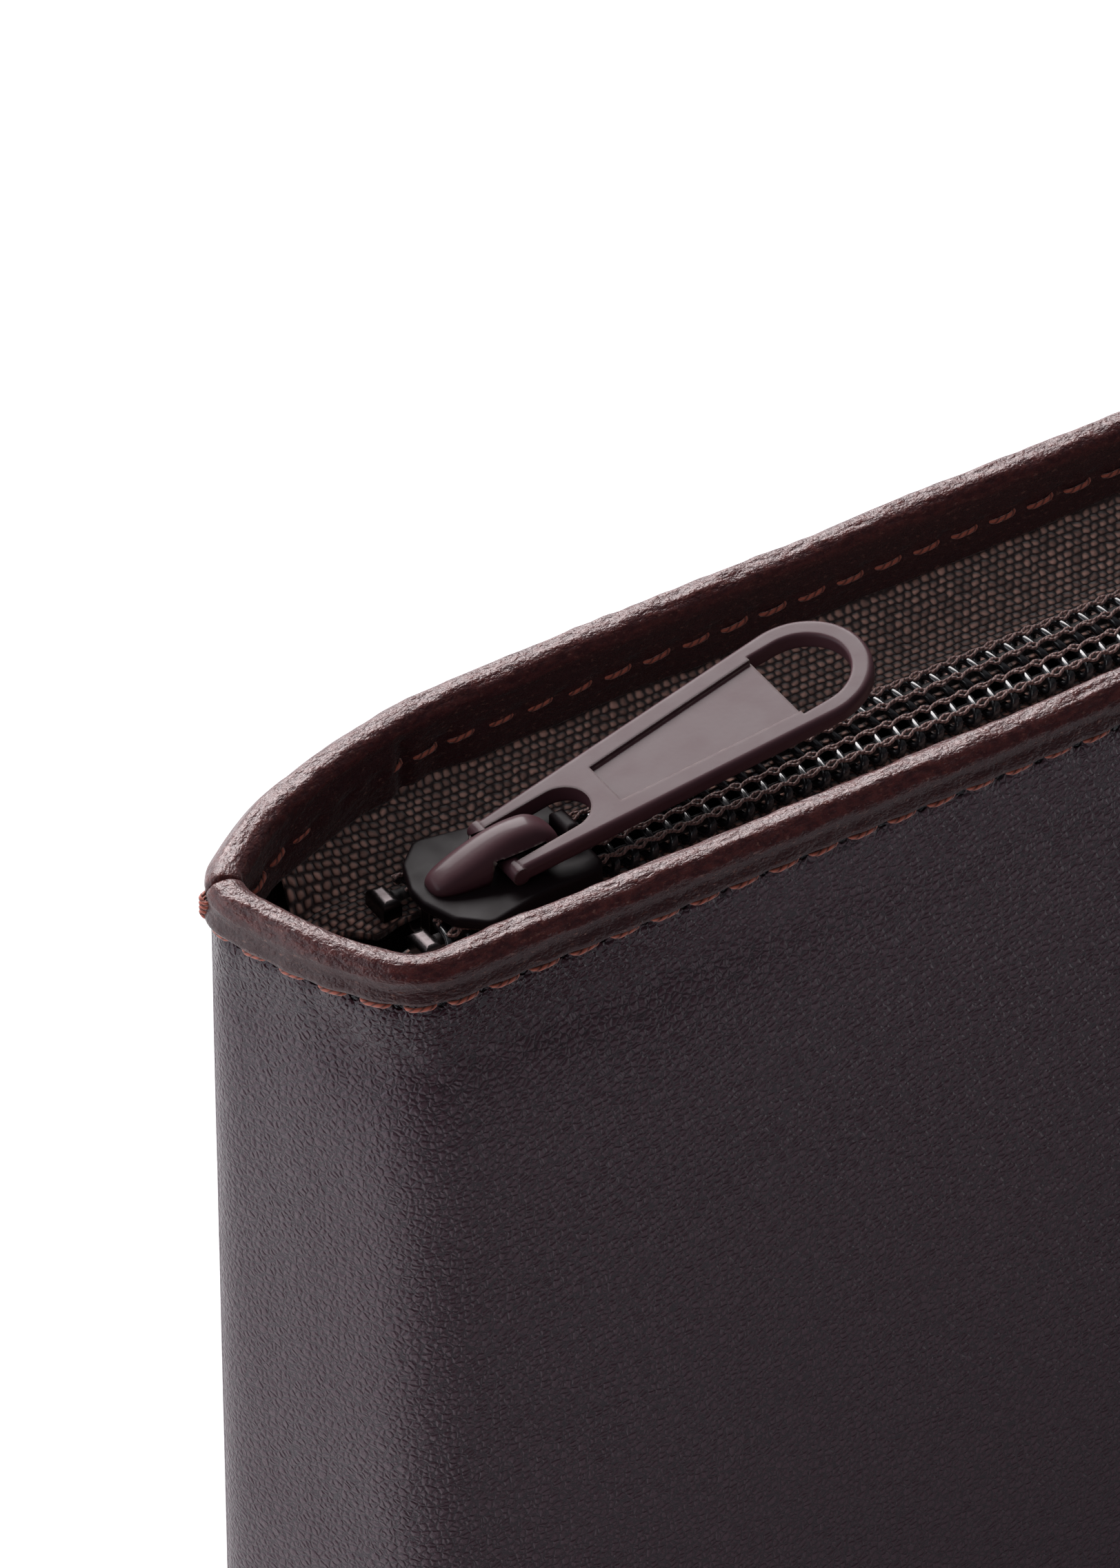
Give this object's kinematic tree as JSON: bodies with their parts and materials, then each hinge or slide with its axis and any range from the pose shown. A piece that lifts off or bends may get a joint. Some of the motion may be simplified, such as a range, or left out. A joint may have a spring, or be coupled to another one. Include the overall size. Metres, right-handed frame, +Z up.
{
  "type": "zippered pouch",
  "caption": "Slim standing leather pouch with a bound mouth, a recessed coil zipper, an auto-lock slider and a long ring pull tab.",
  "frame": {"origin": "on the floor under the middle of the pouch's outline", "axes": "+X along the length towards the open end of the zipper, +Y from the front wall to the back wall, +Z up"},
  "size_m": [0.2004, 0.026, 0.1111],
  "materials": {
    "leather": "semi-gloss fine pebble grain, dark burgundy brown",
    "binding_leather": "smooth skived strip, lightly creased, dark red brown",
    "board": "grey fibre board",
    "lining": "plain woven lining, dark brown",
    "sewing_thread": "waxed polyester thread, red brown",
    "zipper_tape": "woven polyester tape, brown",
    "filler_cord": "twisted polyester cord",
    "coil": "glossy black nylon monofilament",
    "stop_metal": "pressed metal, darkened",
    "slider_enamel": "mauve brown enamel, semi-gloss, edges worn",
    "spring_metal": "hard rolled spring brass"
  },
  "bodies": {
    "pouch": {"front_panel": "leather", "back_panel": "leather", "base_panel": "leather", "front_binding": "binding_leather", "back_binding": "binding_leather", "base_board": "board", "front_interlining": "board", "back_interlining": "board", "base_lining": "lining", "front_lining": "lining", "back_lining": "lining", "front_mouth_stitching": "sewing_thread", "back_mouth_stitching": "sewing_thread", "side_seam_stitching": "sewing_thread", "base_seam_stitching": "sewing_thread", "end_tacks": "sewing_thread", "front_tape": "zipper_tape", "back_tape": "zipper_tape", "front_coil_stitching": "zipper_tape", "back_coil_stitching": "zipper_tape", "front_coil_cord": "filler_cord", "back_coil_cord": "filler_cord", "front_coil": "coil", "back_coil": "coil", "top_stops": "stop_metal", "bottom_stop": "stop_metal"},
    "slider": {"slider_body": "slider_enamel", "slider_cap": "slider_enamel", "lock_spring": "spring_metal"},
    "pull_tab": {"pull_tab": "slider_enamel"}
  },
  "joints": [
    {"name": "slider_travel", "type": "slide", "parent": "pouch", "child": "slider", "axis": [1, 0, 0], "range_m": [0, 0.14435], "deforming": ["front_tape", "back_tape", "front_coil", "back_coil", "front_coil_cord", "back_coil_cord", "front_coil_stitching", "back_coil_stitching"]},
    {"name": "pull_tab_swing", "type": "hinge", "parent": "slider", "child": "pull_tab", "pos_m": [-0.0787, 0, 0.10527], "axis": [0, -1, 0], "range_deg": [0, 145]}
  ]
}
